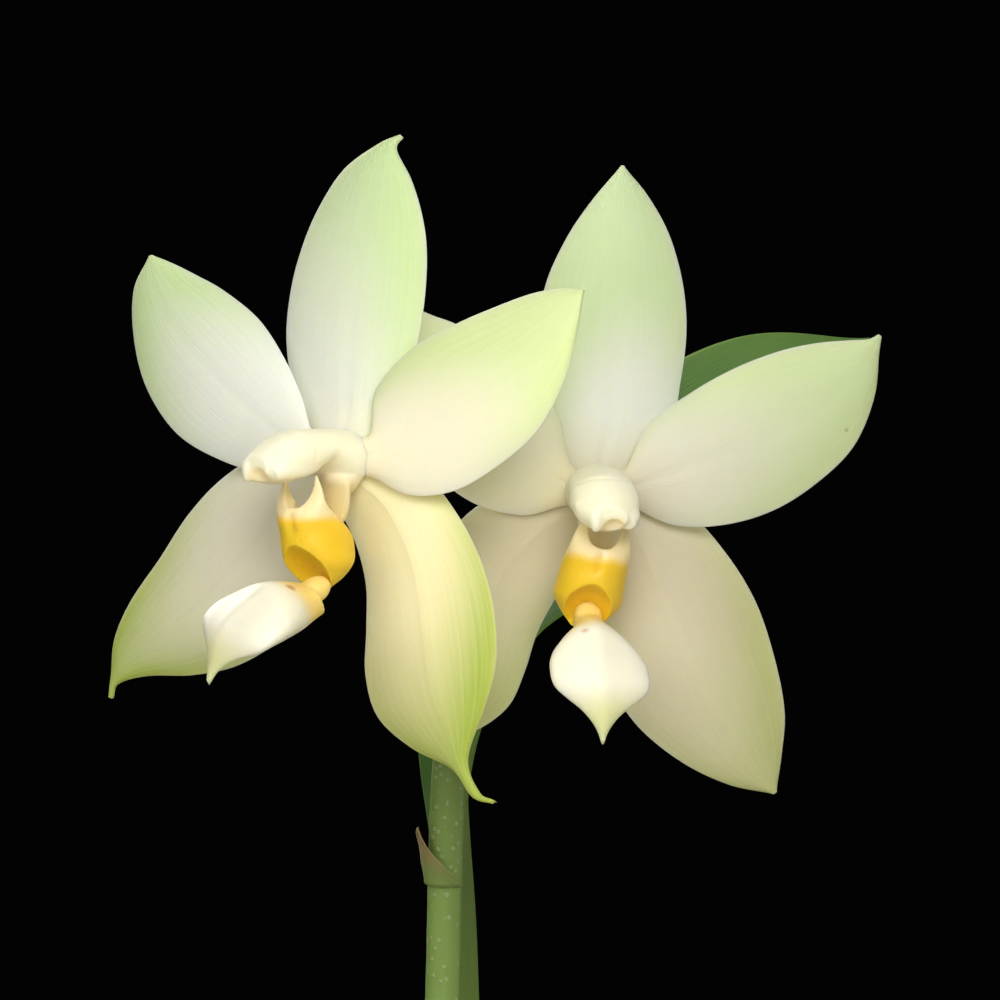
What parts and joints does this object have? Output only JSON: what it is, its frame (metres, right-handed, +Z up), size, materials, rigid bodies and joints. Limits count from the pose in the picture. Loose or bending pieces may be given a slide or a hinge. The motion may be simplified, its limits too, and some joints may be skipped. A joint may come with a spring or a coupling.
{
  "type": "potted moth orchid",
  "caption": "Small moth orchid of the pale unspotted kind in a clay pot: leaves in two ranks and a short spike with star-shaped white and green blooms with a yellow lip.",
  "frame": {"origin": "centre of the pot's flat foot, on the surface that the pot stands on", "axes": "+Z up along the pot's axis, -Y towards the viewer, the way the blooms face, and +X to the viewer's right, along the line of the two ranks of leaves"},
  "size_m": [0.245, 0.1341, 0.2624],
  "materials": {
    "clay": "matte",
    "bark": "matte",
    "stem": "satin",
    "root": "matte",
    "leaf": "satin",
    "spike": "satin",
    "tepal": "satin",
    "cream": "satin",
    "yellow": "satin",
    "white": "satin"
  },
  "bodies": {
    "root": {"pot": "clay", "bark": "bark", "stem": "stem", "roots": "root", "leaf_right_low": "leaf", "leaf_left_low": "leaf", "leaf_right_high": "leaf", "leaf_left_high": "leaf", "leaf_upright": "leaf", "flower_spike": "spike", "left_bloom_dorsal_sepal": "tepal", "left_bloom_petal_left": "tepal", "left_bloom_petal_right": "tepal", "left_bloom_lateral_sepal_left": "tepal", "left_bloom_lateral_sepal_right": "tepal", "left_bloom_pedicel": "spike", "left_bloom_column": "cream", "left_bloom_lip_side_lobes": "yellow", "left_bloom_lip_middle_lobe": "white", "right_bloom_dorsal_sepal": "tepal", "right_bloom_petal_left": "tepal", "right_bloom_petal_right": "tepal", "right_bloom_lateral_sepal_left": "tepal", "right_bloom_lateral_sepal_right": "tepal", "right_bloom_pedicel": "spike", "right_bloom_column": "cream", "right_bloom_lip_side_lobes": "yellow", "right_bloom_lip_middle_lobe": "white"}
  },
  "joints": []
}
